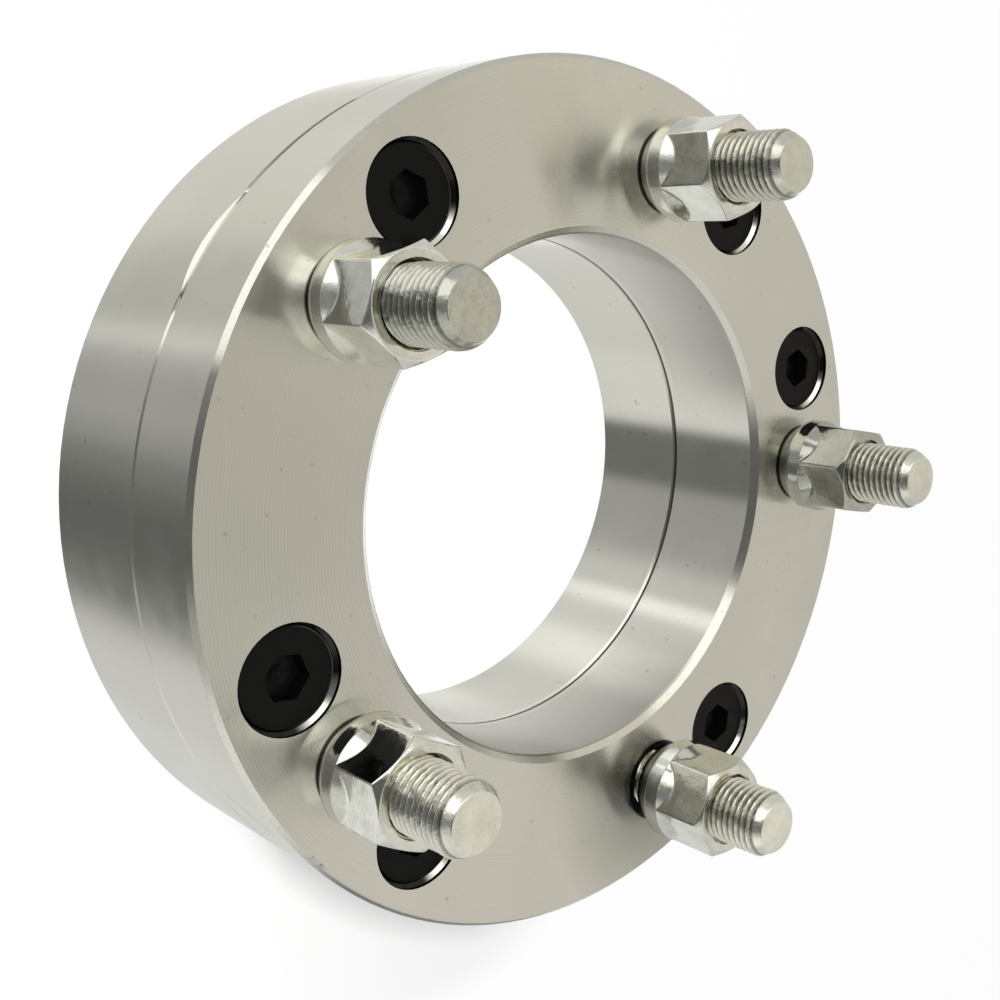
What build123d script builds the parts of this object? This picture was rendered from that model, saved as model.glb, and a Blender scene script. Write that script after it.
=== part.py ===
from build123d import *
from math import cos, radians, sin, sqrt, tan
import os

os.makedirs("parts", exist_ok=True)

# Two-piece wheel spacer. Sizes are in millimetres and angles in degrees.
# The hub face lies on z = 0, the wheel face is at spacer_height, and +X points at wheel stud 1.
# The library copy is fixed in size, because both bolt circles are standard ones.

# Both patterns lie on this circle, and the outline keeps its margins from it
bolt_circle_r = 139.7 / 2
rim_margin = 17.65
bore_margin = 16.6
outer_r = bolt_circle_r + rim_margin
bore_r = bolt_circle_r - bore_margin
spacer_height = 50.8

# The joint: the wheel plate's spigot sits in the hub plate's recess
floor_z = 25.2
spigot_length = 5.8
rim_wall = 3.5
spigot_gap = 0.1
rim_gap = 0.1
rim_joint_z = floor_z + spigot_length
spigot_r = outer_r - rim_wall

# Edge breaks
face_chamfer = 0.9
bore_chamfer = 1.5
hub_edge_chamfer = 0.6
hub_bore_chamfer = 1.0
hub_joint_bevel = 0.6
small_bevel = 0.3

# Hub side: six lug holes, each with a pocket for the hub's own nut
lug_count = 6
lug_start_angle = 36.0
lug_hole_r = 7.25
lug_seat_r = 10.5
lug_seat_half_angle = 30.0
lug_pocket_r = 13.8
lug_pocket_floor_z = 11.0
lug_mouth_chamfer = 0.5
lug_seat_depth = (lug_seat_r - lug_hole_r) / tan(radians(lug_seat_half_angle))

# Wheel side: five pressed studs on the same bolt circle
stud_count = 5
stud_step = 360.0 / stud_count
stud_hole_r = 7.5
press_gap = 0.02
knurl_length = 10.0
stud_head_r = 10.0
stud_head_thickness = 5.0
head_gap = 0.3
head_pocket_depth = 5.8
head_pocket_r = stud_head_r + head_gap
head_seat_z = floor_z + head_pocket_depth
# The thread is plain here: pitch radius where the nut holds it, crest radius where it shows
stud_pitch_r = 6.5
thread_crest_height = 0.35
stud_crest_r = stud_pitch_r + thread_crest_height
stud_end_r = 5.2
stud_end_length = 2.7
stud_stand_out = 33.6
stud_top_z = spacer_height + stud_stand_out
crest_start_gap = 0.5

# Conical-seat nuts, open at the outer end
nut_seat_r = 8.4
nut_collar_r = 10.6
nut_seat_height = 3.75
nut_collar_top = 7.5
nut_collar_bevel = 0.25
nut_across_flats = 18.5
nut_corner_round = 0.8
nut_neck_r = 9.0
nut_neck_height = 11.1
nut_height = 19.5
nut_face_r = 9.05
nut_chamfer_height = 1.3
nut_corner_height = nut_height - nut_chamfer_height
nut_entry_r = 7.5
nut_entry_depth = 1.0
thread_gap = 0.03
nut_turns = [49.9, 21.6, 17.8, 34.8, 5.1]
# The fifth nut isn't run down as far as the others
nut_lifts = [0.0, 0.0, 0.0, 0.0, 2.0]

# Countersunk screws that hold the two plates together, a little outside the bolt circle
screw_circle_offset = 3.35
screw_circle_r = bolt_circle_r + screw_circle_offset
screw_angles = [18.0, 54.0, 126.0, 198.0, 234.0, 306.0]
screw_turns = [23.9, 12.0, 40.0, 53.6, 31.0, 24.3]
screw_r = 5.0
screw_grip = 15.7
screw_recess = 1.3
screw_land = 0.3
screw_edge_round = 0.25
screw_end_chamfer = 0.8
screw_hole_gap = 0.5
screw_hole_r = screw_r + screw_hole_gap
sink_r = 10.0
sink_lip = 0.8
sink_gap = 0.02
socket_across_flats = 7.8
socket_depth = 3.6
socket_break = 0.3
tap_run_out = 1.5

screw_top_z = spacer_height - screw_recess
screw_end_z = floor_z - screw_grip
tapped_hole_end_z = screw_end_z - tap_run_out
screw_land_r = sink_r - (screw_recess + screw_land - sink_lip) - sink_gap
screw_neck_z = screw_top_z - screw_land - (screw_land_r - screw_r)
tapped_hole_r = screw_r + thread_gap


def ring_points(radius, angles):
    """Points on one circle around the spacer's axis."""
    return [(radius * cos(radians(a)), radius * sin(radians(a))) for a in angles]


lug_angles = [lug_start_angle + 360.0 / lug_count * n for n in range(lug_count)]
stud_angles = [stud_step * n for n in range(stud_count)]
lug_points = ring_points(bolt_circle_r, lug_angles)
stud_points = ring_points(bolt_circle_r, stud_angles)
screw_points = ring_points(screw_circle_r, screw_angles)

# Hub plate: turned as one section, with the recess for the spigot in its wheel side
with BuildPart() as hub_plate:
    with BuildSketch(Plane.XZ):
        with BuildLine():
            Polyline(
                (bore_r + hub_bore_chamfer, 0),
                (outer_r - hub_edge_chamfer, 0),
                (outer_r, hub_edge_chamfer),
                (outer_r, rim_joint_z - hub_joint_bevel),
                (outer_r - hub_joint_bevel, rim_joint_z),
                (spigot_r + spigot_gap, rim_joint_z),
                (spigot_r + spigot_gap, floor_z),
                (bore_r + small_bevel, floor_z),
                (bore_r, floor_z - small_bevel),
                (bore_r, hub_bore_chamfer),
                close=True,
            )
        make_face()
    revolve(axis=Axis.Z)
    # Pockets for the hub's nuts, open towards the wheel plate
    with BuildSketch(Plane.XY.offset(lug_pocket_floor_z)):
        with Locations(*lug_points):
            Circle(lug_pocket_r)
    extrude(amount=rim_joint_z - lug_pocket_floor_z, mode=Mode.SUBTRACT)
    # Conical seats in the pocket floors
    with Locations(*[(x, y, lug_pocket_floor_z - lug_seat_depth / 2) for x, y in lug_points]):
        Cone(lug_hole_r, lug_seat_r, lug_seat_depth, mode=Mode.SUBTRACT)
    # Lug holes and their broken edges in the hub face
    with BuildSketch(Plane.XY):
        with Locations(*lug_points):
            Circle(lug_hole_r)
    extrude(amount=lug_pocket_floor_z, mode=Mode.SUBTRACT)
    with Locations(*[(x, y, lug_mouth_chamfer / 2) for x, y in lug_points]):
        Cone(lug_hole_r + lug_mouth_chamfer, lug_hole_r, lug_mouth_chamfer, mode=Mode.SUBTRACT)
    # Tapped holes for the plate screws, with the drill's point at the blind end
    with BuildSketch(Plane.XY.offset(tapped_hole_end_z)):
        with Locations(*screw_points):
            Circle(tapped_hole_r)
    extrude(amount=floor_z - tapped_hole_end_z, mode=Mode.SUBTRACT)
    with Locations(*[(x, y, tapped_hole_end_z - tapped_hole_r / 4) for x, y in screw_points]):
        Cone(0, tapped_hole_r, tapped_hole_r / 2, mode=Mode.SUBTRACT)
hub_plate.part.label = "hub_plate"
export_step(hub_plate.part, "parts/hub_plate.step")

# Wheel plate: flange with the spigot below it
with BuildPart() as wheel_plate:
    with BuildSketch(Plane.XZ):
        with BuildLine():
            Polyline(
                (bore_r + small_bevel, floor_z),
                (spigot_r - small_bevel, floor_z),
                (spigot_r, floor_z + small_bevel),
                (spigot_r, rim_joint_z + rim_gap),
                (outer_r - small_bevel, rim_joint_z + rim_gap),
                (outer_r, rim_joint_z + rim_gap + small_bevel),
                (outer_r, spacer_height - face_chamfer),
                (outer_r - face_chamfer, spacer_height),
                (bore_r + bore_chamfer, spacer_height),
                (bore_r, spacer_height - bore_chamfer),
                (bore_r, floor_z + small_bevel),
                close=True,
            )
        make_face()
    revolve(axis=Axis.Z)
    # Stud holes, with room for the stud heads in the back
    with BuildSketch(Plane.XY.offset(floor_z)):
        with Locations(*stud_points):
            Circle(stud_hole_r)
    extrude(amount=spacer_height - floor_z, mode=Mode.SUBTRACT)
    with BuildSketch(Plane.XY.offset(floor_z)):
        with Locations(*stud_points):
            Circle(head_pocket_r)
    extrude(amount=head_seat_z - floor_z, mode=Mode.SUBTRACT)
    # Screw holes: clearance, 90 degree countersink and the short straight lip above it
    with BuildSketch(Plane.XY.offset(floor_z)):
        with Locations(*screw_points):
            Circle(screw_hole_r)
    extrude(amount=spacer_height - floor_z, mode=Mode.SUBTRACT)
    sink_depth = sink_r - screw_hole_r
    sink_top_z = spacer_height - sink_lip
    with Locations(*[(x, y, sink_top_z - sink_depth / 2) for x, y in screw_points]):
        Cone(screw_hole_r, sink_r, sink_depth, mode=Mode.SUBTRACT)
    with BuildSketch(Plane.XY.offset(sink_top_z)):
        with Locations(*screw_points):
            Circle(sink_r)
    extrude(amount=sink_lip, mode=Mode.SUBTRACT)
wheel_plate.part.label = "wheel_plate"
export_step(wheel_plate.part, "parts/wheel_plate.step")

# Wheel studs: round head, pressed knurl, thread and tapered tip
for index in range(stud_count):
    crest_start_z = spacer_height + nut_lifts[index] + nut_height + crest_start_gap
    with BuildPart() as wheel_stud:
        with BuildSketch(Plane.XZ):
            with BuildLine():
                Polyline(
                    (0, head_seat_z - stud_head_thickness),
                    (stud_head_r - small_bevel, head_seat_z - stud_head_thickness),
                    (stud_head_r, head_seat_z - stud_head_thickness + small_bevel),
                    (stud_head_r, head_seat_z),
                    (stud_hole_r - press_gap, head_seat_z),
                    (stud_hole_r - press_gap, head_seat_z + knurl_length),
                    (stud_pitch_r, head_seat_z + knurl_length + 1.0),
                    (stud_pitch_r, crest_start_z),
                    (stud_crest_r, crest_start_z),
                    (stud_crest_r, stud_top_z - stud_end_length),
                    (stud_end_r, stud_top_z),
                    (0, stud_top_z),
                    close=True,
                )
            make_face()
        revolve(axis=Axis.Z)
    placed_stud = Pos(*stud_points[index], 0) * wheel_stud.part
    placed_stud.label = f"wheel_stud_{index + 1}"
    export_step(placed_stud, f"parts/wheel_stud_{index + 1}.step")

# Lug nuts: hexagon cut by a cone at each end, above a collar and a conical seat
corner_r = nut_across_flats / sqrt(3)
chamfer_slope = (nut_height - nut_corner_height) / (corner_r - nut_face_r)
for index in range(stud_count):
    with BuildPart() as lug_nut:
        with BuildSketch(Plane.XY.offset(nut_seat_height)):
            RegularPolygon(corner_r, 6, rotation=nut_turns[index])
        extrude(amount=nut_height - nut_seat_height)
        fillet(lug_nut.edges().filter_by(Axis.Z), nut_corner_round)
        # Outer chamfer: keeps what lies inside this turned outline
        with BuildSketch(Plane.XZ):
            with BuildLine():
                Polyline(
                    (0, 0),
                    (corner_r + 1.0, 0),
                    (corner_r + 1.0, nut_corner_height - chamfer_slope),
                    (nut_face_r, nut_height),
                    (0, nut_height),
                    close=True,
                )
            make_face()
        revolve(axis=Axis.Z, mode=Mode.INTERSECT)
        # Seat, collar and the cone that the flats run out on
        with BuildSketch(Plane.XZ):
            with BuildLine():
                Polyline(
                    (0, 0),
                    (nut_seat_r, 0),
                    (nut_collar_r - nut_collar_bevel, nut_seat_height),
                    (nut_collar_r, nut_seat_height + nut_collar_bevel),
                    (nut_collar_r, nut_collar_top),
                    (nut_neck_r, nut_neck_height),
                    (0, nut_neck_height),
                    close=True,
                )
            make_face()
        revolve(axis=Axis.Z)
        # Threaded hole at pitch radius, with a countersunk entry at both ends
        nut_bore_r = stud_pitch_r + thread_gap
        with BuildSketch(Plane.XZ):
            with BuildLine():
                Polyline(
                    (0, 0),
                    (nut_entry_r, 0),
                    (nut_bore_r, nut_entry_depth),
                    (nut_bore_r, nut_height - nut_entry_depth),
                    (nut_entry_r, nut_height),
                    (0, nut_height),
                    close=True,
                )
            make_face()
        revolve(axis=Axis.Z, mode=Mode.SUBTRACT)
    placed_nut = Pos(*stud_points[index], spacer_height + nut_lifts[index]) * lug_nut.part
    placed_nut.label = f"lug_nut_{index + 1}"
    export_step(placed_nut, f"parts/lug_nut_{index + 1}.step")

# Plate screws: countersunk head with a hexagon socket, shank into the hub plate
for index in range(len(screw_angles)):
    with BuildPart() as plate_screw:
        with BuildSketch(Plane.XZ):
            with BuildLine():
                Polyline(
                    (0, screw_end_z),
                    (screw_r - screw_end_chamfer, screw_end_z),
                    (screw_r, screw_end_z + screw_end_chamfer),
                    (screw_r, screw_neck_z),
                    (screw_land_r, screw_top_z - screw_land),
                    (screw_land_r, screw_top_z),
                    (0, screw_top_z),
                    close=True,
                )
            make_face()
        revolve(axis=Axis.Z)
        fillet(plate_screw.edges().group_by(Axis.Z)[-1], screw_edge_round)
        with BuildSketch(Plane.XY.offset(screw_top_z - socket_depth)):
            RegularPolygon(socket_across_flats / sqrt(3), 6, rotation=screw_turns[index])
        extrude(amount=socket_depth, mode=Mode.SUBTRACT)
        socket_r = socket_across_flats / 2
        with Locations((0, 0, screw_top_z - socket_break / 2)):
            Cone(socket_r, socket_r + socket_break, socket_break, mode=Mode.SUBTRACT)
    placed_screw = Pos(*screw_points[index], 0) * plate_screw.part
    placed_screw.label = f"plate_screw_{index + 1}"
    export_step(placed_screw, f"parts/plate_screw_{index + 1}.step")
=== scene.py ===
"""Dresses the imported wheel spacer: turned aluminium plates, threaded studs, seat nuts and black screws."""

from math import cos, degrees, pi, radians, sin, sqrt

import bmesh
import bpy
from mathutils import Matrix, Vector


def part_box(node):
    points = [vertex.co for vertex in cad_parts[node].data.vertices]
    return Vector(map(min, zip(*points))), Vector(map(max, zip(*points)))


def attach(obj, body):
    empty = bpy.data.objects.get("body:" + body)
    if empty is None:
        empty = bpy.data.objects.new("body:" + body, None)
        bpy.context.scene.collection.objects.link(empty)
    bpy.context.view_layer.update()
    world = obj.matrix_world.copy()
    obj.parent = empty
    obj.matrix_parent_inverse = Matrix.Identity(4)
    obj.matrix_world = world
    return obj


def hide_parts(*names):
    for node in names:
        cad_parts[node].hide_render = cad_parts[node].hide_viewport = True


bl_info = {
    "name": "Wheel Spacer Dresser",
    "version": (1, 0, 0),
    "blender": (4, 5, 0),
    "location": "View3D > Sidebar > Spacer",
    "description": "Cuts the threads and flats of a wheel spacer's hardware and gives every piece its finish",
    "category": "Object",
}

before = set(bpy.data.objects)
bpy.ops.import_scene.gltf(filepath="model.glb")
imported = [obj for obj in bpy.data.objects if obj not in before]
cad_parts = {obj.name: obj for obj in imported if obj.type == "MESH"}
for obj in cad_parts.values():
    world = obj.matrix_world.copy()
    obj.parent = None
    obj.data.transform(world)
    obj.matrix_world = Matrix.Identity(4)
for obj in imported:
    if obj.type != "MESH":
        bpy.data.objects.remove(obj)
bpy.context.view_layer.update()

MM = 0.001

# Circles round the spacer's axis, by their radius in millimetres. BORE_WALL and RIM_WALL part the walls from
# the faces, CHAMFER_END is just past the bore's chamfer and FACE_END is just inside the rim's edge.
STUD_CIRCLE = 69.85
SCREW_CIRCLE = 73.2
BORE_WALL = 53.6
CHAMFER_END = 56.0
FACE_END = 86.0
RIM_WALL = 86.2

# Millimetres over the hub face: the two seams between the plates, the lowest point of the wheel face's
# chamfers, and the wheel face.
BORE_SEAM = 25.2
RIM_SEAM = 30.7
CHAMFER_FOOT = 49.0
WHEEL_FACE = 50.8

# The tree's hexagons have the middle of a flat, and not a corner, at angle 0.
FLAT_TO_CORNER = 30.0
KNURL_RIDGES = 36
SEAT_HEIGHT = 3.8
LOOSE_NUT = 5

# How far the colour of each stud is scaled.
STUD_TONES = (0.95, 0.84, 0.74, 1.06, 1.1)

# The azimuth that a corner of each nut points to, in degrees, how far its colour is scaled, and the painted light on
# its seat cone: painted shade on nuts 1, 2 and 5, a little brighter than the rest of the nut on nuts 3 and 4.
NUTS = ((49.9, 0.58, 0.5), (21.6, 0.92, 0.6), (17.8, 1.0, 1.1), (34.8, 0.92, 1.0), (5.1, 0.88, 0.4))

# The azimuth of each screw on its circle, and the one that a corner of its socket points to, in degrees.
SCREWS = ((18.0, 23.9), (54.0, 12.0), (126.0, 40.0), (198.0, 53.6), (234.0, 31.0), (306.0, 24.3))

# Patches of the studio that metal mirrors. Directions are in degrees: the azimuth of the middle, half the
# width and how softly it ends, then the lowest and highest elevation and how softly they end.
STUDIO = (
    # light, azimuth, half width, softness, low, high, softness
    (0.56, 143, 34, 12, -95, -52, 3),
    (0.42, 164, 14, 8, -95, -52, 3),
    (0.78, 142, 3.5, 2.5, -95, -52, 3),
    (0.24, 187, 12, 8, -95, -52, 3),
    (0.67, -108, 12, 8, -95, -52, 3),
    (0.13, 212, 22, 8, -95, -52, 3),
    (1.25, 20, 11, 4, -60, -49, 3),
    (0.67, 134, 12, 5, -52, -28, 3),
    (0.40, 162, 22, 8, -52, -28, 3),
    (0.17, 191.5, 14.5, 4, -52, -28, 3),
    (0.86, 226, 18, 5, -50, -38, 4),
    (1.10, 86, 12, 8, -51, -37, 3),
    (1.25, 120, 4, 3, -46, -28, 3),
    (1.30, -22, 12, 5, -48, -24, 5),
    (0.85, -143, 12, 6, -38, -14, 5),
    (0.12, 180, 42, 12, 24, 80, 8),
    (0.12, 183, 17, 8, 16, 34, 5),
    (0.22, 176, 16, 8, -28, 24, 8),
    (0.92, -122, 18, 10, 6, 22, 5),
    (1.36, 130, 22, 3.5, -22, 33, 3),
    (1.38, 103, 31, 4, 31, 60, 4),
)
TALL_WINDOW = (-0.52, 0.50, 0.69)
WHITE = (1.0, 1.0, 1.0, 1.0)
PALE_CREAM = (1.0, 0.96, 0.92, 1.0)
CREAM = (1.0, 0.945, 0.868, 1.0)
DUST = (0.05, 0.05, 0.047, 1.0)
PAINTED_RIM_HIGHLIGHT = (0.11, 0.11, 0.1, 1.0)


class StudSizes(bpy.types.PropertyGroup):
    """Wheel stud and its thread."""

    pitch: bpy.props.FloatProperty(
        name="Pitch", description="Height of one turn of the thread", default=1.5 * MM, unit="LENGTH", precision=4
    )
    crest_radius: bpy.props.FloatProperty(
        name="Crest radius", description="Radius over the thread", default=6.85 * MM, unit="LENGTH", precision=4
    )
    root_radius: bpy.props.FloatProperty(
        name="Root radius",
        description="Radius at the bottom of the thread",
        default=5.98 * MM,
        unit="LENGTH",
        precision=4,
    )
    end_radius: bpy.props.FloatProperty(
        name="End radius", description="Radius of the flat end", default=5.2 * MM, unit="LENGTH", precision=4
    )
    taper_length: bpy.props.FloatProperty(
        name="Taper length", description="Height of the tapered tip", default=2.7 * MM, unit="LENGTH", precision=4
    )


class NutSizes(bpy.types.PropertyGroup):
    """Conical-seat nut."""

    across_flats: bpy.props.FloatProperty(
        name="Across flats", description="Size of the hexagon", default=18.5 * MM, unit="LENGTH", precision=4
    )
    height: bpy.props.FloatProperty(
        name="Height", description="Whole height of the nut", default=19.5 * MM, unit="LENGTH", precision=4
    )
    collar_radius: bpy.props.FloatProperty(
        name="Collar radius",
        description="Radius of the round collar",
        default=10.6 * MM,
        unit="LENGTH",
        precision=4,
    )
    corner_softness: bpy.props.FloatProperty(
        name="Corner softness",
        description="How far the hexagon's corners are rounded",
        default=0.5 * MM,
        unit="LENGTH",
        precision=5,
    )
    edge_softness: bpy.props.FloatProperty(
        name="Edge softness",
        description="How far the flats' curved edges are rounded",
        default=0.18 * MM,
        unit="LENGTH",
        precision=5,
    )


class ScrewSizes(bpy.types.PropertyGroup):
    """Countersunk plate screw."""

    head_radius: bpy.props.FloatProperty(
        name="Head radius", description="Radius of the head's land", default=9.18 * MM, unit="LENGTH", precision=4
    )
    socket_flats: bpy.props.FloatProperty(
        name="Socket across flats",
        description="Size of the hexagon socket",
        default=7.8 * MM,
        unit="LENGTH",
        precision=4,
    )
    socket_depth: bpy.props.FloatProperty(
        name="Socket depth",
        description="Depth of the hexagon socket",
        default=3.6 * MM,
        unit="LENGTH",
        precision=4,
    )


class FinishColours(bpy.types.PropertyGroup):
    """Colours of the metals."""

    aluminium: bpy.props.FloatVectorProperty(
        name="Aluminium",
        description="Turned aluminium",
        default=(0.75, 0.75, 0.67),
        subtype="COLOR",
        min=0.0,
        max=1.0,
    )
    zinc: bpy.props.FloatVectorProperty(
        name="Zinc",
        description="Bright zinc plating of the nuts",
        default=(0.75, 0.755, 0.68),
        subtype="COLOR",
        min=0.0,
        max=1.0,
    )
    dull_zinc: bpy.props.FloatVectorProperty(
        name="Dull zinc",
        description="Duller zinc plating of the studs",
        default=(0.70, 0.705, 0.61),
        subtype="COLOR",
        min=0.0,
        max=1.0,
    )
    black_oxide: bpy.props.FloatVectorProperty(
        name="Black oxide",
        description="Blackened screws",
        default=(0.0015, 0.0015, 0.0015),
        subtype="COLOR",
        min=0.0,
        max=1.0,
    )


class StageSettings(bpy.types.PropertyGroup):
    """Floor and lamps."""

    floor_size: bpy.props.FloatProperty(
        name="Floor size", description="Side of the square floor", default=4.0, unit="LENGTH"
    )
    key_power: bpy.props.FloatProperty(
        name="Key power", description="Power of the large soft lamp", default=4.0, unit="POWER"
    )


class Board:
    """One node tree, with short ways to add a node and link what feeds it."""

    def __init__(self, tree):
        self.tree = tree

    def add(self, kind, inputs=None, **settings):
        """A new node with its settings made, then its inputs fed."""
        made = self.tree.nodes.new(kind)
        for key, value in settings.items():
            setattr(made, key, value)
        for key, value in (inputs or {}).items():
            if isinstance(value, bpy.types.NodeSocket):
                self.tree.links.new(value, made.inputs[key])
            else:
                made.inputs[key].default_value = value
        return made

    def math(self, operation, *values):
        return self.add("ShaderNodeMath", dict(enumerate(values)), operation=operation).outputs[0]

    def product(self, first, *others):
        for other in others:
            first = self.math("MULTIPLY", first, other)
        return first

    def rest(self, value):
        """1 less the value."""
        return self.math("SUBTRACT", 1.0, value)

    def diagonal(self, first, second):
        """Length of the line that spans two sides at right angles."""
        return self.math("SQRT", self.math("ADD", self.product(first, first), self.product(second, second)))

    def over(self, value, limit):
        return self.math("GREATER_THAN", value, limit)

    def under(self, value, limit):
        return self.math("LESS_THAN", value, limit)

    def spread(self, value, low, high, start=0.0, end=1.0, smooth=False):
        """value moved from the range low..high to start..end, and held there."""
        inputs = {"Value": value, "From Min": low, "From Max": high, "To Min": start, "To Max": end}
        kind = "SMOOTHSTEP" if smooth else "LINEAR"
        return self.add("ShaderNodeMapRange", inputs, interpolation_type=kind).outputs["Result"]

    def choose(self, share, first, second):
        """Number mix: share 0 gives first and 1 gives second."""
        return self.spread(share, 0.0, 1.0, first, second)

    def between(self, value, low, high, edge):
        """1 inside low..high and 0 outside, over a soft edge."""
        rise = self.spread(value, low - edge, low + edge, smooth=True)
        return self.product(rise, self.spread(value, high + edge, high - edge, smooth=True))

    def away(self, angle, middle):
        """Degrees from the middle angle, the short way round."""
        return self.math("ABSOLUTE", self.math("WRAP", self.math("SUBTRACT", angle, middle), 180.0, -180.0))

    def vector(self, operation, *values):
        return self.add("ShaderNodeVectorMath", dict(enumerate(values)), operation=operation).outputs["Vector"]

    def scaled(self, vector, factor):
        return self.add("ShaderNodeVectorMath", {0: vector, "Scale": factor}, operation="SCALE").outputs["Vector"]

    def dot(self, first, second):
        return self.add("ShaderNodeVectorMath", {0: first, 1: second}, operation="DOT_PRODUCT").outputs["Value"]

    def parts(self, vector):
        return self.add("ShaderNodeSeparateXYZ", {"Vector": vector}).outputs

    def joined(self, x=0.0, y=0.0, z=0.0):
        return self.add("ShaderNodeCombineXYZ", {"X": x, "Y": y, "Z": z}).outputs["Vector"]

    def blend(self, share, first, second):
        """Colour mix: share 0 gives first and 1 gives second."""
        inputs = {"Factor": share, "A": first, "B": second}
        return self.add("ShaderNodeMix", inputs, data_type="RGBA").outputs["Result"]

    def noise(self, where, scale, detail=2.0, roughness=0.5, dimensions="3D"):
        socket = "W" if dimensions == "1D" else "Vector"
        inputs = {socket: where, "Scale": scale, "Detail": detail, "Roughness": roughness}
        return self.add("ShaderNodeTexNoise", inputs, noise_dimensions=dimensions).outputs[0]

    def attribute(self, name):
        return self.add("ShaderNodeAttribute", attribute_name=name).outputs["Fac"]

    def bump(self, height, strength, distance, normal=None):
        """The normal as the height bends it, on top of another bump's normal where one is given."""
        inputs = {"Height": height, "Strength": strength, "Distance": distance}
        if normal:
            inputs["Normal"] = normal
        return self.add("ShaderNodeBump", inputs).outputs["Normal"]

    def surface(self, inputs):
        """Ends a material with one principled surface."""
        metal = self.add("ShaderNodeBsdfPrincipled", inputs)
        self.add("ShaderNodeOutputMaterial", {"Surface": metal.outputs["BSDF"]})


class Spot:
    """Where a shaded point lies: in millimetres, and in degrees round the spacer's axis."""

    def __init__(self, board):
        self.place = millimetres(board)
        parts = board.parts(self.place)
        self.x, self.y, self.z = parts["X"], parts["Y"], parts["Z"]
        self.radius = board.diagonal(self.x, self.y)
        self.turn = board.product(board.math("ARCTAN2", self.y, self.x), degrees(1.0))


def millimetres(board):
    """Object coordinates in millimetres."""
    return board.scaled(board.add("ShaderNodeTexCoord").outputs["Object"], 1.0 / MM)


def grey(level):
    return (level, level, level, 1.0)


def new_material(name):
    """An empty material, and the board of its nodes."""
    made = bpy.data.materials.new(name)
    made.use_nodes = True
    made.node_tree.nodes.clear()
    return made, Board(made.node_tree)


def placed(name, data):
    """A new object of the scene."""
    made = bpy.data.objects.new(name, data)
    bpy.context.scene.collection.objects.link(made)
    return made


def on_circle(radius, azimuth):
    """X and Y of a place on a circle round the spacer's axis, with the azimuth in degrees."""
    return radius * cos(radians(azimuth)), radius * sin(radians(azimuth))


def stud_place(number):
    """X and Y of a stud in millimetres. Stud 1 stands on the X axis."""
    return on_circle(STUD_CIRCLE, 360.0 / len(STUD_TONES) * (number - 1))


def turned_aluminium(name, colour, roughness):
    """Aluminium with fine lines round the spacer's axis: it smears reflections across the lines."""
    made, board = new_material(name)
    spot = Spot(board)
    normal = board.add("ShaderNodeNewGeometry").outputs["Normal"]
    around = board.joined(board.product(spot.y, -1.0), spot.x)
    tangent = board.vector("NORMALIZE", board.vector("CROSS_PRODUCT", normal, around))
    lift = board.math("ABSOLUTE", board.parts(normal)["Z"])
    flat = board.spread(lift, 0.8, 0.95)
    bevel = board.math("SUBTRACT", board.spread(lift, 0.2, 0.5), flat)

    fine = board.noise(board.math("ADD", spot.radius, spot.z), 2.6, detail=3.0, roughness=0.75, dimensions="1D")
    lines = board.spread(fine, 0.3, 0.7, 0.97, 1.02)
    stain = board.spread(board.noise(spot.place, 0.03, detail=3.0, roughness=0.6), 0.35, 0.65, 0.97, 1.03)
    speck = board.spread(board.noise(spot.place, 0.55, detail=1.0), 0.74, 0.80, 1.0, 0.78)
    scuff = board.spread(board.noise(spot.place, 1.7, detail=3.0, roughness=0.7), 0.35, 0.65, 0.94, 1.03)
    shade = board.product(
        lines,
        stain,
        speck,
        board.choose(bevel, 1.0, scuff),
        feed_marks(board, spot, flat),
        seam_painted_light(board, spot),
        rim_nicks(board, spot),
        edge_darkening(board, spot),
        chamfer_painted_light(board, spot, bevel),
        seat_shadow(board, spot),
        hole_shadow(board, spot, normal),
        loose_nut_painted_reflection(board, spot, flat),
    )

    by_slope = board.choose(
        bevel,
        board.choose(flat, roughness * 0.62, roughness),
        board.spread(spot.radius, CHAMFER_END, CHAMFER_END + 1.0, 0.2, 0.14),
    )
    uneven = board.spread(board.noise(spot.place, 0.12, detail=4.0), 0.35, 0.7, 0.9, 1.12)
    filed = board.bump(filed_edge(board, spot), 1.0, MM)
    board.surface(
        {
            "Base Color": board.scaled(colour, shade),
            "Metallic": 1.0,
            "Roughness": board.product(by_slope, uneven),
            "Anisotropic": 0.85,
            "Tangent": tangent,
            "Normal": board.bump(fine, 0.25, 0.004 * MM, filed),
        }
    )
    return made


def filed_edge(board, spot):
    """Height in millimetres, below 0 where a file took metal off the hub plate's upper rim edge."""
    middle, half_width, tallest = 144.5, 7.5, 2.8
    away = board.math("DIVIDE", board.math("SUBTRACT", spot.turn, middle), half_width)
    height = board.product(board.rest(board.product(away, away)), tallest)
    depth = board.math("MAXIMUM", board.math("SUBTRACT", board.math("ADD", spot.z, height), RIM_SEAM), 0.0)
    on_edge = board.product(board.over(spot.radius, RIM_WALL), board.under(spot.z, RIM_SEAM))
    return board.product(depth, on_edge, board.over(height, 0.0), -1.0)


def feed_marks(board, spot, flat):
    """Fine lines that the turning tool left on the faces, plainest on one side."""
    feed, plainest = 0.62, 196.0
    wave = board.math("SINE", board.product(spot.radius, 2 * pi / feed))
    depth = board.spread(board.away(spot.turn, plainest), 45.0, 10.0, 0.004, 0.03, smooth=True)
    return board.rest(board.product(flat, depth, board.math("ADD", wave, 1.0)))


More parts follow.
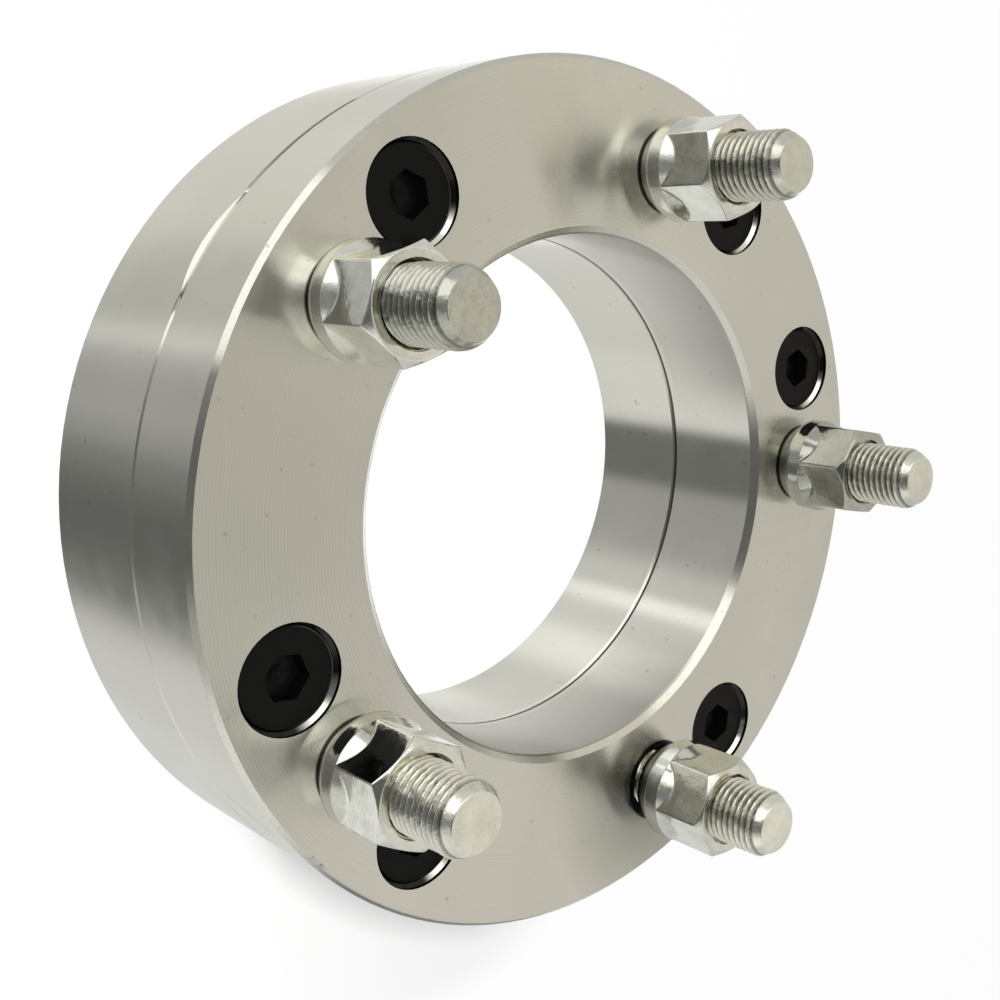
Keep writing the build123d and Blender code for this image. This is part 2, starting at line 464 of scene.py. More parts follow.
def seam_painted_light(board, spot):
    """In the bore: a painted shadow line in the gap where the plates meet, a painted highlight under it on the hub
    plate, and painted shade that makes the wheel plate darker than the hub plate on most of its way round."""
    in_bore = board.under(spot.radius, BORE_WALL)
    dark = board.between(spot.z, BORE_SEAM + 0.1, BORE_SEAM + 1.0, 0.08)
    bright = board.between(spot.z, BORE_SEAM - 0.75, BORE_SEAM - 0.1, 0.1)
    bright_side = board.between(spot.turn, -100.0, -25.0, 12.0)
    painted_shade_side = board.rest(board.between(spot.turn, -52.0, 17.0, 8.0))
    step = board.spread(spot.z, BORE_SEAM + 1.0, BORE_SEAM + 3.0, 0.0, 0.16)
    slope = board.spread(spot.z, BORE_SEAM + 5.0, CHAMFER_FOOT, 0.0, 0.26)
    wheel_plate_shade = board.product(in_bore, painted_shade_side, board.math("ADD", step, slope))
    tone = board.rest(board.math("MAXIMUM", board.product(in_bore, dark, 0.88), wheel_plate_shade))
    return board.math("ADD", tone, board.product(in_bore, bright, bright_side, 0.3))


def rim_nicks(board, spot):
    """Jagged dark scratches that climb a short stretch of the rim."""
    start, end = -148.0, -140.0
    along = board.math("SUBTRACT", spot.z, board.spread(spot.turn, start, end, 35.0, 51.0))
    jag = board.product(board.noise(spot.place, 0.5, detail=4.0, roughness=0.8), 7.0)
    off_line = board.math("ABSOLUTE", board.math("SUBTRACT", board.math("ADD", along, jag), 3.5))
    line = board.spread(off_line, 0.2, 0.45, 1.0, 0.0)
    patchy = board.spread(board.noise(spot.place, 0.35), 0.46, 0.54)
    on_rim = board.over(spot.radius, RIM_WALL)
    return board.rest(board.product(line, patchy, on_rim, board.between(spot.turn, start, end + 2.0, 1.0), 0.62))


def edge_darkening(board, spot):
    """Darker in two short stretches of the rim seam, and along a stretch of the wheel face's edge."""
    short, long = board.between(spot.turn, 151.0, 153.6, 0.5), board.between(spot.turn, 118.0, 136.8, 0.5)
    in_seam = board.product(
        board.between(spot.z, RIM_SEAM - 0.8, RIM_SEAM + 0.1, 0.05), board.math("MAXIMUM", short, long)
    )
    on_edge = board.product(
        board.between(spot.z, WHEEL_FACE - 1.05, WHEEL_FACE - 0.3, 0.1),
        board.between(spot.turn, -137.0, -98.0, 5.0),
    )
    darkening = board.product(board.math("MAXIMUM", in_seam, on_edge), board.over(spot.radius, RIM_WALL))
    return board.rest(board.product(darkening, 0.6))


def chamfer_painted_light(board, spot, bevel):
    """Painted brighter reflection: the bore's wide chamfer is drawn a little brighter than the rest."""
    on_chamfer = board.product(board.under(spot.radius, CHAMFER_END), board.over(spot.z, CHAMFER_FOOT), bevel)
    return board.math("ADD", 1.0, board.product(on_chamfer, 0.1))


def seat_shadow(board, spot):
    """Dark under a nut's seat and in a thin ring round it, else 1."""
    seat, ring = 8.6, 9.15
    half_share = pi / len(STUD_TONES)
    fold = board.math("WRAP", board.math("ARCTAN2", spot.y, spot.x), half_share, -half_share)
    out = board.math("SUBTRACT", board.product(spot.radius, board.math("COSINE", fold)), STUD_CIRCLE)
    side = board.product(spot.radius, board.math("SINE", fold))
    return board.spread(board.diagonal(out, side), seat, ring, 0.06, 1.0, smooth=True)


def hole_shadow(board, spot, normal):
    """Dark below the wheel face between bore and rim, which is inside its holes, but for the side of a
    countersink that mirrors the tall window."""
    in_holes = board.product(
        board.between(spot.radius, CHAMFER_END, FACE_END, 0.1), board.under(spot.z, WHEEL_FACE - 0.04)
    )
    lit_side = board.spread(board.dot(normal, TALL_WINDOW), 0.88, 0.985, 0.05, 1.25, smooth=True)
    return board.choose(in_holes, 1.0, lit_side)


def loose_nut_painted_reflection(board, spot, flat):
    """Painted dark reflection on the wheel face, on one side of the nut that stands off it."""
    nut_x, nut_y = stud_place(LOOSE_NUT)
    across, up = board.math("SUBTRACT", spot.x, nut_x), board.math("SUBTRACT", spot.y, nut_y)
    gap = board.diagonal(across, up)
    toward = board.math("ADD", board.product(across, -0.64), board.product(up, -0.77))
    side = board.spread(board.math("DIVIDE", toward, gap), -0.1, 0.4, smooth=True)
    on_face = board.product(flat, board.over(spot.z, WHEEL_FACE - 0.1))
    return board.rest(board.product(on_face, side, board.spread(gap, 31.0, 9.0, 0.0, 0.48)))


def zinc_plating(name, colour, roughness, waviness):
    """Plated steel: soft waves in the plating, tiny pits, brighter patches of wear and painted shade in the thread
    grooves.
    """
    made, board = new_material(name)
    place = millimetres(board)
    wave = board.noise(place, 0.45, detail=3.0, roughness=0.55)
    grain = board.noise(place, 3.2, detail=3.0, roughness=0.6)
    patch = board.noise(place, 0.22, detail=4.0, roughness=0.65)
    shade = board.product(
        board.spread(patch, 0.35, 0.65, 0.88, 1.06),
        board.spread(grain, 0.3, 0.7, 0.94, 1.04),
        # Painted shade in the thread grooves: the deeper a point lies in a groove, the darker it is drawn.
        board.spread(board.attribute("groove"), 0.12, 0.8, 1.25, 0.5),
        board.attribute("tone"),
    )
    soft = board.bump(wave, waviness, 0.35 * MM)
    board.surface(
        {
            "Base Color": board.scaled(colour, shade),
            "Metallic": 1.0,
            "Roughness": board.spread(patch, 0.3, 0.7, roughness * 0.75, roughness * 1.35),
            "Normal": board.bump(grain, waviness * 0.7, 0.04 * MM, soft),
        }
    )
    return made


def black_oxide(name, colour):
    """Blackened steel with a faint sheen, a few pale specks of dust and a painted highlight on one side of the
    head's rim.
    """
    made, board = new_material(name)
    place = millimetres(board)
    speck = board.noise(place, 2.4, detail=4.0, roughness=0.7)
    cloud = board.noise(place, 0.3, detail=3.0)
    normal = board.add("ShaderNodeNewGeometry").outputs["Normal"]
    side = board.spread(board.dot(normal, (0.9, -0.1, 0.0)), 0.0, 0.5)
    # Painted highlight on the head's rim, on the side whose normal points towards +X.
    rubbed = board.product(
        board.attribute("highlight_rim"), side, board.spread(board.noise(place, 0.2), 0.4, 0.6, 0.5, 1.0)
    )
    dusty = board.blend(board.spread(speck, 0.70, 0.76), (*colour, 1.0), DUST)
    board.surface(
        {
            "Base Color": board.blend(rubbed, dusty, PAINTED_RIM_HIGHLIGHT),
            "Metallic": 0.0,
            "Roughness": board.spread(cloud, 0.3, 0.7, 0.36, 0.5),
            "Specular IOR Level": 0.14,
            "Normal": board.bump(speck, 0.2, 0.04 * MM),
        }
    )
    return made


def merged(mesh, distance, face_out=False):
    """Joins the points that lie within the distance, and turns the faces out if asked."""
    skin = bmesh.new()
    skin.from_mesh(mesh)
    bmesh.ops.remove_doubles(skin, verts=skin.verts, dist=distance)
    if face_out:
        bmesh.ops.recalc_face_normals(skin, faces=skin.faces)
    skin.to_mesh(mesh)
    skin.free()


def turned_blank(name, profile, columns, closed=False):
    """Solid of revolution round the Z axis. profile lists (radius, height, step), step being the longest
    row on the way to that point, and columns lists the angles of the mesh's columns. A closed profile runs
    on from its last point to its first."""
    rows = [profile[0][:2]]
    for (r0, z0, _), (r1, z1, step) in zip(profile, profile[1:] + (profile[:1] if closed else [])):
        count = max(1, int(sqrt((r1 - r0) ** 2 + (z1 - z0) ** 2) / step + 0.999))
        rows += [(r0 + (r1 - r0) * k / count, z0 + (z1 - z0) * k / count) for k in range(1, count + 1)]
    if closed:
        rows.pop()
    verts = [(r * cos(a) * MM, r * sin(a) * MM, z * MM) for r, z in rows for a in columns]
    wide = len(columns)
    faces = []
    for k in range(len(rows) if closed else len(rows) - 1):
        above = (k + 1) % len(rows)
        for n in range(wide):
            side = (n + 1) % wide
            faces.append((k * wide + n, k * wide + side, above * wide + side, above * wide + n))
    mesh = bpy.data.meshes.new(name)
    mesh.from_pydata(verts, [], faces)
    merged(mesh, 1e-8, face_out=True)
    return mesh


def even_columns(count):
    return [2 * pi * n / count for n in range(count)]


def hexagon_columns():
    """Columns that lie closer together near the six corners."""
    steps = [0, 4, 8, 12, 16, 19.5, 22.5, 25, 27, 28.4, 29.3, FLAT_TO_CORNER]
    half = [radians(s) for s in steps]
    angles = []
    for side in range(6):
        middle = radians(60 * side)
        angles += [middle - a for a in reversed(half[1:])] + [middle + a for a in half[:-1]]
    return angles


def new_tree(name, numbers):
    """Geometry node tree with a geometry, the named numbers, a place and a material as its inputs."""
    tree = bpy.data.node_groups.new(name, "GeometryNodeTree")
    kinds = {"Geometry": "Geometry", **dict.fromkeys(numbers, "Float"), "Place": "Vector", "Material": "Material"}
    for key, kind in kinds.items():
        tree.interface.new_socket(name=key, in_out="INPUT", socket_type="NodeSocket" + kind)
    tree.interface.new_socket(name="Geometry", in_out="OUTPUT", socket_type="NodeSocketGeometry")
    board = Board(tree)
    return tree, board, board.add("NodeGroupInput").outputs


def polar(board):
    """Each point's place, and its radius, angle and height."""
    place = board.add("GeometryNodeInputPosition").outputs["Position"]
    parts = board.parts(place)
    radius = board.math("MAXIMUM", board.diagonal(parts["X"], parts["Y"]), 1e-7)
    return place, radius, board.math("ARCTAN2", parts["Y"], parts["X"]), parts["Z"]


def stored(board, geometry, name, value):
    """The geometry with a number stored on its points, for its material to read."""
    inputs = {"Geometry": geometry, "Name": name, "Value": value}
    return board.add("GeometryNodeStoreNamedAttribute", inputs).outputs["Geometry"]


def close_tree(board, given, geometry, place, radius, new_radius, turn=0.0):
    """Moves the points straight out or in to their new radius, turns and places the piece, realizes it and
    sets its material."""
    ratio = board.math("DIVIDE", new_radius, radius)
    position = board.vector("MULTIPLY", place, board.joined(ratio, ratio, 1.0))
    shape = board.add("GeometryNodeSetPosition", {"Geometry": geometry, "Position": position}).outputs["Geometry"]
    moved = board.add(
        "GeometryNodeTransform",
        {"Geometry": shape, "Translation": given["Place"], "Rotation": board.joined(z=turn)},
    ).outputs["Geometry"]
    real = board.add("GeometryNodeRealizeInstances", {"Geometry": moved}).outputs["Geometry"]
    covered = board.add("GeometryNodeSetMaterial", {"Geometry": real, "Material": given["Material"]})
    board.add("NodeGroupOutput", {"Geometry": covered.outputs["Geometry"]})


def thread_radius(board, angle, height, given):
    """Radius of a right-handed vee thread with narrow flats on its crests and roots, and its tooth, which is
    0 at the roots and 1 at the crests."""
    turns = board.math("DIVIDE", angle, 2 * pi)
    phase = board.math("FRACT", board.math("SUBTRACT", board.math("DIVIDE", height, given["Pitch"]), turns))
    slope = board.math("ABSOLUTE", board.math("SUBTRACT", board.product(phase, 2.0), 1.0))
    tooth = board.spread(slope, 0.14, 0.86)
    return board.choose(tooth, given["Root Radius"], given["Crest Radius"]), tooth


def off_flat(board, angle):
    """Angle from the middle of the nearest of a hexagon's six flats."""
    return board.math("WRAP", angle, pi / 6, -pi / 6)


def stud_tree():
    """Cuts the thread and the knurl into a turned stud blank."""
    thread = ["Pitch", "Crest Radius", "Root Radius", "Thread Start", "Wear"]
    tree, board, given = new_tree(
        "cut_stud", [*thread, "Knurl Start", "Knurl End", "Knurl Depth", "Tone", "Seed"]
    )
    place, radius, angle, z = polar(board)
    on_thread = board.over(z, given["Thread Start"])
    rule, tooth = thread_radius(board, angle, z, given)
    groove = board.product(board.rest(tooth), on_thread, board.over(radius, given["Root Radius"]))
    marked = stored(board, stored(board, given["Geometry"], "groove", groove), "tone", given["Tone"])

    seeded = board.vector("ADD", place, board.joined(z=given["Seed"]))
    rub = board.spread(board.noise(seeded, 420.0, detail=3.0), 0.4, 0.7)
    rubbed = board.math("SUBTRACT", rule, board.product(rub, given["Wear"]))
    threaded = board.math("MINIMUM", radius, rubbed)
    ridge = board.math("PINGPONG", board.product(angle, KNURL_RIDGES / pi), 1.0)
    knurled = board.math("SUBTRACT", radius, board.product(ridge, given["Knurl Depth"]))
    on_knurl = board.product(board.over(z, given["Knurl Start"]), board.under(z, given["Knurl End"]))
    new_radius = board.choose(on_thread, board.choose(on_knurl, radius, knurled), threaded)
    close_tree(board, given, marked, place, radius, new_radius)
    return tree


def nut_tree():
    """Mills the six flats and cuts the inner thread of a turned nut blank."""
    flats = ["Across Flats", "Corner Softness", "Edge Softness", "Dents"]
    neck = ["Neck Low Radius", "Neck Low Height", "Neck High Radius", "Neck High Height"]
    thread = ["Pitch", "Crest Radius", "Root Radius", "Inner Radius"]
    tree, board, given = new_tree("mill_nut", [*flats, *neck, *thread, "Turn", "Seat Painted Light", "Tone", "Seed"])
    place, radius, angle, z = polar(board)
    # Painted light on the seat cone: below the collar the nut takes its seat factor instead of its own tone.
    tone = board.spread(z, (SEAT_HEIGHT - 0.5) * MM, SEAT_HEIGHT * MM, given["Seat Painted Light"], given["Tone"])
    marked = stored(board, given["Geometry"], "tone", tone)

    off = off_flat(board, angle)
    reach = board.product(given["Across Flats"], 0.5)
    to_next = board.math("SUBTRACT", pi / 3, board.math("ABSOLUTE", off))
    nearest = board.math("DIVIDE", reach, board.math("COSINE", off))
    next_flat = board.math("DIVIDE", reach, board.math("COSINE", to_next))
    hexagon = board.math("SMOOTH_MIN", nearest, next_flat, given["Corner Softness"])
    cone = board.spread(
        z, given["Neck Low Height"], given["Neck High Height"], given["Neck Low Radius"], given["Neck High Radius"]
    )
    past_neck = board.product(board.over(z, given["Neck High Height"]), 4.0 * MM)
    left = board.math("SMOOTH_MAX", hexagon, board.math("SUBTRACT", cone, past_neck), given["Edge Softness"])
    milled = board.math("SMOOTH_MIN", radius, left, given["Edge Softness"])
    seeded = board.vector("ADD", place, board.joined(given["Seed"]))
    dent = board.spread(board.noise(seeded, 260.0), 0.42, 0.75, smooth=True)
    outer = board.math("SUBTRACT", milled, board.product(dent, given["Dents"]))

    world_angle = board.math("ADD", angle, given["Turn"])
    world_height = board.math("ADD", z, board.parts(given["Place"])["Z"])
    rule, _ = thread_radius(board, world_angle, world_height, given)
    inner = board.math("MAXIMUM", radius, rule)
    new_radius = board.choose(board.under(radius, given["Inner Radius"]), outer, inner)
    close_tree(board, given, marked, place, radius, new_radius, given["Turn"])
    return tree


def screw_tree():
    """Presses the hexagon socket into a turned screw blank."""
    tree, board, given = new_tree(
        "press_socket", ["Socket Floor", "Blend Low", "Blend High", "Rim Radius", "Rim Height", "Turn"]
    )
    place, radius, angle, z = polar(board)
    hexagon = board.math("DIVIDE", 1.0, board.math("COSINE", off_flat(board, angle)))
    near = board.spread(radius, given["Blend High"], given["Blend Low"])
    share = board.product(near, board.over(z, given["Socket Floor"]))
    # The head's outer rim, stored for the painted highlight that the material draws there.
    rim = board.product(board.over(radius, given["Rim Radius"]), board.over(z, given["Rim Height"]))
    marked = stored(board, given["Geometry"], "highlight_rim", rim)
    new_radius = board.product(radius, board.choose(share, 1.0, hexagon))
    close_tree(board, given, marked, place, radius, new_radius, given["Turn"])
    return tree


def grown_piece(name, blank, tree, values):
    """A plain mesh object, made by running the tree on the blank with the given inputs."""
    carrier = placed(name + "_blank", blank)
    modifier = carrier.modifiers.new("grow", "NODES")
    modifier.node_group = tree
    keys = {item.name: item.identifier for item in tree.interface.items_tree if item.in_out == "INPUT"}
    for key, value in values.items():
        modifier[keys[key]] = value
    carrier.update_tag()
    bpy.context.view_layer.update()
    grown = bpy.data.meshes.new_from_object(carrier.evaluated_get(bpy.context.evaluated_depsgraph_get()))
    carrier.modifiers.clear()
    bpy.data.objects.remove(carrier)
    grown.name = name
    return placed(name, grown)


def smooth_below(mesh, angle):
    """Smooth shading, with an edge left sharp where its faces meet at more than the angle."""
    mesh.shade_smooth()
    mesh.set_sharp_from_angle(angle=radians(angle))


def dressed_copy(node, name, material):
    """A merged, smoothly shaded copy of a CAD node."""
    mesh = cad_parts[node].data.copy()
    mesh.name = name
    merged(mesh, 2e-7)
    if "custom_normal" in mesh.attributes:
        mesh.attributes.remove(mesh.attributes["custom_normal"])
    smooth_below(mesh, 24)
    mesh.materials.clear()
    mesh.materials.append(material)
    return placed(name, mesh)


def stand_for(piece, node):
    """Has a piece stand in for a CAD node: the piece hangs under the root body and the node is hidden."""
    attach(piece, "root")
    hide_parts(node)


class SPACER_OT_plates(bpy.types.Operator):
    """Gives the two plates their turned surfaces"""

    bl_idname = "spacer.plates"
    bl_label = "Turn the plates"

    def execute(self, context):
        colour = context.scene.spacer_colours.aluminium
        for node in ("wheel_plate", "hub_plate"):
            finish = turned_aluminium(f"{node}_turned", colour, 0.27)
            stand_for(dressed_copy(node, f"{node}_turned", finish), node)
        return {"FINISHED"}


class SPACER_OT_studs(bpy.types.Operator):
    """Cuts the five wheel studs, with real threads and knurls"""

    bl_idname = "spacer.studs"
    bl_label = "Cut the studs"

    def execute(self, context):
        sizes = context.scene.spacer_studs
        finish = zinc_plating("stud_dull_zinc", context.scene.spacer_colours.dull_zinc, 0.22, 0.42)
        tree = stud_tree()
        crest, end, taper = sizes.crest_radius / MM, sizes.end_radius / MM, sizes.taper_length / MM
        head, head_height = 10.0, 5.0
        knurl, knurl_length = 7.48, 10.0
        neck = 6.5
        for number, tone in enumerate(STUD_TONES, start=1):
            low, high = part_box(f"wheel_stud_{number}")
            foot, top = low.z / MM, high.z / MM
            seat = foot + head_height
            knurl_end = seat + knurl_length
            profile = [
                (0, foot, 1),
                (head - 0.3, foot, 4),
                (head, foot + 0.3, 1),
                (head, seat, 5),
                (knurl, seat, 3),
                (knurl, knurl_end, 1.0),
                (neck, knurl_end + 1.0, 1),
                (crest, knurl_end + 1.6, 1),
                (crest, top - 15.5, 0.3),
                (crest, top - taper, 0.09),
                (end + 0.06, top - 0.1, 0.09),
                (end - 0.04, top, 0.12),
                (end * 0.5, top - 0.02, 0.6),
                (0, top - 0.03, 0.6),
            ]
            x, y = stud_place(number)
            piece = grown_piece(
                f"threaded_stud_{number}",
                turned_blank("stud_blank", profile, even_columns(3 * KNURL_RIDGES)),
                tree,
                {
                    "Pitch": sizes.pitch,
                    "Crest Radius": sizes.crest_radius,
                    "Root Radius": sizes.root_radius,
                    "Thread Start": (knurl_end + 1.3) * MM,
                    "Wear": 0.12 * MM,
                    "Knurl Start": seat * MM,
                    "Knurl End": (knurl_end + 0.2) * MM,
                    "Knurl Depth": 0.25 * MM,
                    "Tone": tone,
                    "Seed": 0.013 * number,
                    "Place": (x * MM, y * MM, 0.0),
                    "Material": finish,
                },
            )
            smooth_below(piece.data, 34)
            stand_for(piece, f"wheel_stud_{number}")
        return {"FINISHED"}


class SPACER_OT_nuts(bpy.types.Operator):
    """Mills the five conical-seat nuts"""

    bl_idname = "spacer.nuts"
    bl_label = "Mill the nuts"

    def execute(self, context):
        sizes = context.scene.spacer_nuts
        studs = context.scene.spacer_studs
        finish = zinc_plating("nut_bright_zinc", context.scene.spacer_colours.zinc, 0.12, 0.16)
        tree = nut_tree()
        top = sizes.height / MM
        collar = sizes.collar_radius / MM
        corner = sizes.across_flats / MM / sqrt(3) + 0.05
        seat_end, outer_end = 8.4, 9.05
        collar_foot, collar_top, neck_top = 4.0, 7.5, 11.1
        entry, bore = 7.5, 6.15
        profile = [
            (seat_end, 0, 1),
            (collar - 0.25, collar_foot - 0.25, 0.6),
            (collar, collar_foot, 0.12),
            (collar, collar_top - 0.2, 1.0),
            (corner, collar_top + 0.1, 0.1),
            (corner, neck_top + 0.2, 0.12),
            (corner, top - 1.9, 0.6),
            (corner, top - 1.4, 0.12),
            (outer_end, top, 0.12),
            (entry, top, 0.5),
            (bore, top - 1.3, 0.2),
            (bore, top - 6.0, 0.15),
            (bore, 1.3, 1.0),
            (entry, 0, 0.4),
        ]
        for number, (azimuth, tone, seat_painted_light) in enumerate(NUTS, start=1):
            low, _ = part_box(f"lug_nut_{number}")
            x, y = stud_place(number)
            piece = grown_piece(
                f"seat_nut_{number}",
                turned_blank("nut_blank", profile, hexagon_columns(), closed=True),
                tree,
                {
                    "Across Flats": sizes.across_flats,
                    "Corner Softness": sizes.corner_softness,
                    "Edge Softness": sizes.edge_softness,
                    "Dents": 0.02 * MM,
                    "Neck Low Radius": sizes.collar_radius,
                    "Neck Low Height": collar_top * MM,
                    "Neck High Radius": 9.0 * MM,
                    "Neck High Height": neck_top * MM,
                    "Pitch": studs.pitch,
                    "Crest Radius": studs.crest_radius + 0.03 * MM,
                    "Root Radius": studs.root_radius + 0.2 * MM,
                    "Inner Radius": 7.2 * MM,
                    "Turn": radians(azimuth + FLAT_TO_CORNER),
                    "Seat Painted Light": seat_painted_light,
                    "Tone": tone,
                    "Seed": 0.02 * number,
                    "Place": (x * MM, y * MM, low.z),
                    "Material": finish,
                },
            )
            smooth_below(piece.data, 42)
            stand_for(piece, f"lug_nut_{number}")
        return {"FINISHED"}


class SPACER_OT_screws(bpy.types.Operator):
    """Presses the sockets of the six countersunk screws and blackens them"""

    bl_idname = "spacer.screws"
    bl_label = "Press the screws"

    def execute(self, context):
        sizes = context.scene.spacer_screws
        finish = black_oxide("screw_black_oxide", context.scene.spacer_colours.black_oxide)
        tree = screw_tree()
        reach, land = sizes.socket_flats / MM / 2, sizes.head_radius / MM
        shank, socket_chamfer = 5.0, 0.12
        for number, (azimuth, corner_azimuth) in enumerate(SCREWS, start=1):
            low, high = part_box(f"plate_screw_{number}")
            foot, top = low.z / MM, high.z / MM
            floor = top - sizes.socket_depth / MM
            profile = [
                (0, foot, 1),
                (shank - 0.8, foot, 3),
                (shank, foot + 0.8, 1),
                (shank, top - 0.3 - (land - shank), 4),
                (land, top - 0.3, 2),
                (land, top - 0.25, 1),
                (land - 0.07, top - 0.07, 0.1),
                (land - 0.25, top, 0.1),
                (land - 0.4, top, 1.0),
                (5.4, top, 1.0),
                (reach + socket_chamfer, top, 0.4),
                (reach, top - socket_chamfer, 0.1),
                (reach, floor, 0.8),
                (reach * 0.5, floor - 0.1, 1.0),
                (0, floor - 0.9, 1.5),
            ]
            x, y = on_circle(SCREW_CIRCLE, azimuth)
            piece = grown_piece(
                f"socket_screw_{number}",
                turned_blank("screw_blank", profile, hexagon_columns()),
                tree,
                {
                    "Socket Floor": (floor - 0.95) * MM,
                    "Blend Low": (reach + 0.15) * MM,
                    "Blend High": 5.0 * MM,
                    "Rim Radius": (land - 0.3) * MM,
                    "Rim Height": (top - 0.2) * MM,
                    "Turn": radians(corner_azimuth + FLAT_TO_CORNER),
                    "Place": (x * MM, y * MM, 0.0),
                    "Material": finish,
                },
            )
            smooth_below(piece.data, 38)
            stand_for(piece, f"plate_screw_{number}")
        return {"FINISHED"}


class SPACER_OT_stage(bpy.types.Operator):
    """Sets up the floor, the lamps, the surroundings and the camera"""

    bl_idname = "spacer.stage"
    bl_label = "Set the stage"

    def execute(self, context):
        settings = context.scene.spacer_stage
        make_floor(settings.floor_size)
        make_lamps(settings.key_power)
        make_surroundings()
        make_camera()
        return {"FINISHED"}


def make_floor(size):
    """White floor that shines for the camera, so that the background stays white. It shines less on one side
    of the spacer, where its shadow shows."""
    mesh = bpy.data.meshes.new("floor")
    half = size / 2
    mesh.from_pydata([(-half, -half, 0), (half, -half, 0), (half, half, 0), (-half, half, 0)], [], [(0, 1, 2, 3)])
    material, board = new_material("white_floor")
    spot = Spot(board)
    in_bore = board.spread(spot.radius, 70.0, 66.0)
    shaded = board.product(
        board.between(spot.turn, -122.0, -80.0, 8.0), board.between(spot.radius, 84.0, 132.0, 6.0)
    )
    own_light = board.math("MAXIMUM", in_bore, board.choose(shaded, 0.95, 0.42))
    share = board.product(board.add("ShaderNodeLightPath").outputs["Is Camera Ray"], own_light)
    plain = board.add("ShaderNodeBsdfDiffuse", {"Color": grey(0.9)}).outputs["BSDF"]
    glow = board.add("ShaderNodeEmission", {"Color": WHITE, "Strength": 1.0}).outputs["Emission"]
    mixed = board.add("ShaderNodeMixShader", {0: share, 1: plain, 2: glow}).outputs["Shader"]
    board.add("ShaderNodeOutputMaterial", {"Surface": mixed})
    mesh.materials.append(material)
    floor = placed("floor", mesh)
    floor.visible_glossy = False


def area_lamp(name, place, aim, width, height, power):
    """A flat lamp that metal doesn't mirror."""
    data = bpy.data.lights.new(name, "AREA")
    data.shape = "RECTANGLE"
    data.size = width
    data.size_y = height
    data.energy = power
    lamp = placed(name, data)
    lamp.location = place
    lamp.rotation_mode = "QUATERNION"
    lamp.rotation_quaternion = (Vector(aim) - Vector(place)).to_track_quat("-Z", "Y")
    lamp.visible_glossy = False


def make_lamps(power):
    """A large soft lamp overhead, and a small one near the camera for the tight shadow on the floor."""
    area_lamp("key", (-0.25, 0.85, 0.95), (0, 0, 0.02), 0.7, 0.6, power)
    area_lamp("near", (-0.160, 0.049, 0.238), (0, -0.03, 0.0), 0.03, 0.03, power * 0.2)


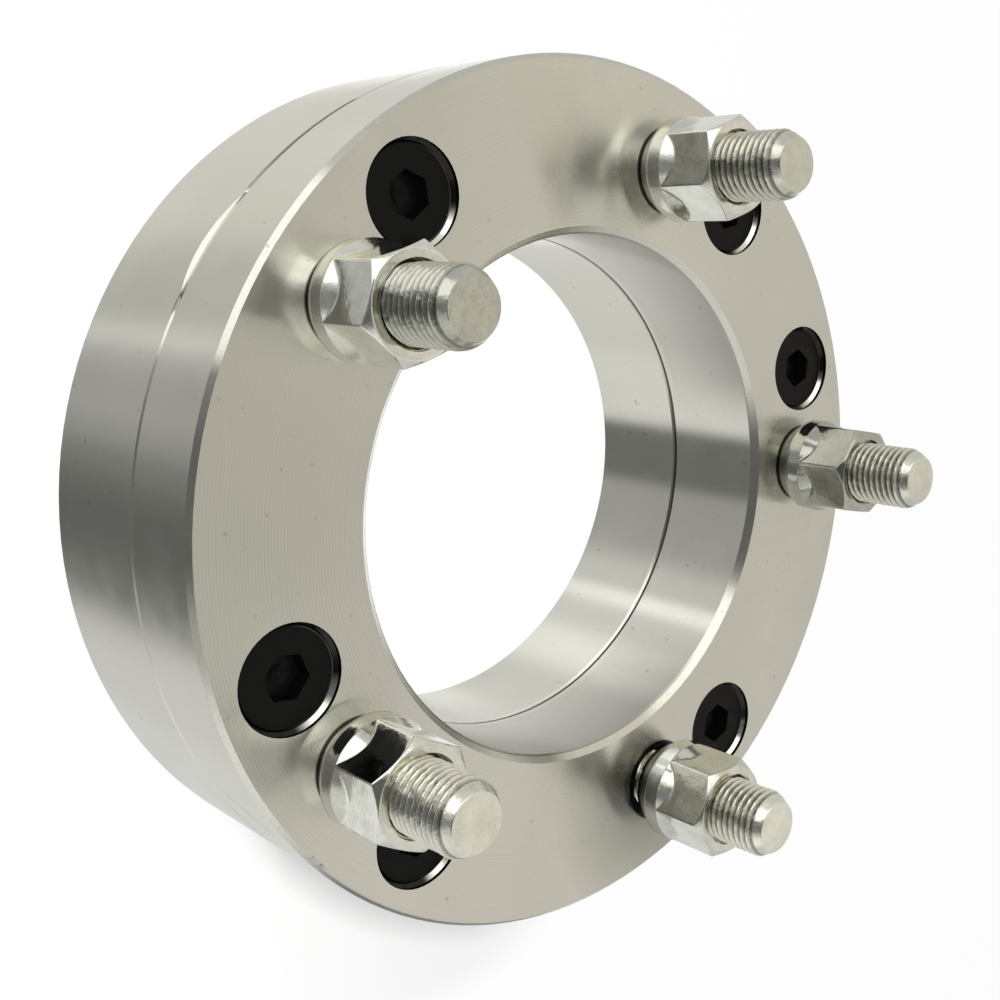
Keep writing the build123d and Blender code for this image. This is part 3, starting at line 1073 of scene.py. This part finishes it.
def make_surroundings():
    """White for the camera, an even light for matt surfaces, and a studio with windows and a dark side for metal."""
    world = bpy.data.worlds.new("studio")
    bpy.context.scene.world = world
    world.use_nodes = True
    world.node_tree.nodes.clear()
    board = Board(world.node_tree)
    parts = board.parts(board.add("ShaderNodeTexCoord").outputs["Generated"])
    azimuth = board.product(board.math("ARCTAN2", parts["Y"], parts["X"]), degrees(1.0))
    elevation = board.product(board.math("ARCSINE", parts["Z"]), degrees(1.0))

    level = board.spread(elevation, -45.0, -15.0, 0.76, 0.60, smooth=True)
    level = board.math("ADD", level, board.spread(elevation, 10.0, 35.0, 0.0, 0.12, smooth=True))
    level = board.math("SUBTRACT", level, board.spread(elevation, 46.0, 62.0, 0.0, 0.20, smooth=True))
    for light, middle, half, soft, low, high, edge in STUDIO:
        across = board.spread(board.away(azimuth, middle), half + soft, half - soft, smooth=True)
        share = board.product(across, board.between(elevation, low, high, edge))
        level = board.choose(share, level, light)

    far = board.spread(board.math("ABSOLUTE", azimuth), 110.0, 60.0, smooth=True)
    warm = board.product(far, board.spread(elevation, 0.0, 30.0, smooth=True))
    below = board.product(board.spread(elevation, -48.0, -56.0), board.between(azimuth, 30.0, 135.0, 15.0))
    cream = board.blend(board.spread(azimuth, -45.0, 5.0), PALE_CREAM, CREAM)
    tint = board.blend(below, board.blend(warm, WHITE, cream), PALE_CREAM)

    path = board.add("ShaderNodeLightPath").outputs
    studio = board.add("ShaderNodeBackground", {"Color": tint, "Strength": level}).outputs["Background"]
    even = board.add("ShaderNodeBackground", {"Color": WHITE, "Strength": 0.45}).outputs["Background"]
    white = board.add("ShaderNodeBackground", {"Color": WHITE, "Strength": 1.0}).outputs["Background"]
    mirrored = board.add("ShaderNodeMixShader", {0: path["Is Glossy Ray"], 1: even, 2: studio}).outputs["Shader"]
    seen = board.add("ShaderNodeMixShader", {0: path["Is Camera Ray"], 1: mirrored, 2: white}).outputs["Shader"]
    board.add("ShaderNodeOutputWorld", {"Surface": seen})


def make_camera():
    """The camera at the photograph's viewing angle."""
    data = bpy.data.cameras.new("camera")
    data.sensor_width = 36.0
    data.lens = 46.576
    data.shift_x = -0.10
    data.shift_y = -0.06
    data.clip_start = 0.01
    camera = placed("camera", data)
    turned = Matrix(
        ((0.717144, 0.092886, -0.690707), (0.009107, 0.989745, 0.142555), (0.696865, -0.108523, 0.708944))
    )
    camera.rotation_mode = "QUATERNION"
    camera.rotation_quaternion = turned.to_quaternion()
    camera.location = (-0.179576, 0.049297, 0.238021)
    bpy.context.scene.camera = camera


class SPACER_PT_panel(bpy.types.Panel):
    """Lists the steps that dress the spacer"""

    bl_label = "Wheel spacer"
    bl_idname = "SPACER_PT_panel"
    bl_space_type = "VIEW_3D"
    bl_region_type = "UI"
    bl_category = "Spacer"

    def draw(self, context):
        for operator in STEPS:
            self.layout.operator(operator.bl_idname)
        for group in GROUPS:
            box = self.layout.box()
            settings = getattr(context.scene, group)
            for key in settings.__annotations__:
                box.prop(settings, key)


STEPS = (SPACER_OT_stage, SPACER_OT_plates, SPACER_OT_studs, SPACER_OT_nuts, SPACER_OT_screws)
GROUPS = {
    "spacer_studs": StudSizes,
    "spacer_nuts": NutSizes,
    "spacer_screws": ScrewSizes,
    "spacer_colours": FinishColours,
    "spacer_stage": StageSettings,
}


def register():
    for kind in (*GROUPS.values(), *STEPS, SPACER_PT_panel):
        bpy.utils.register_class(kind)
    for key, kind in GROUPS.items():
        setattr(bpy.types.Scene, key, bpy.props.PointerProperty(type=kind))


def unregister():
    for key in GROUPS:
        delattr(bpy.types.Scene, key)
    for kind in (SPACER_PT_panel, *reversed(STEPS), *reversed(tuple(GROUPS.values()))):
        bpy.utils.unregister_class(kind)


def main():
    register()
    bpy.context.scene.view_settings.view_transform = "Standard"
    bpy.ops.spacer.stage()
    bpy.ops.spacer.plates()
    bpy.ops.spacer.studs()
    bpy.ops.spacer.nuts()
    bpy.ops.spacer.screws()


if __name__ == "__main__":
    main()
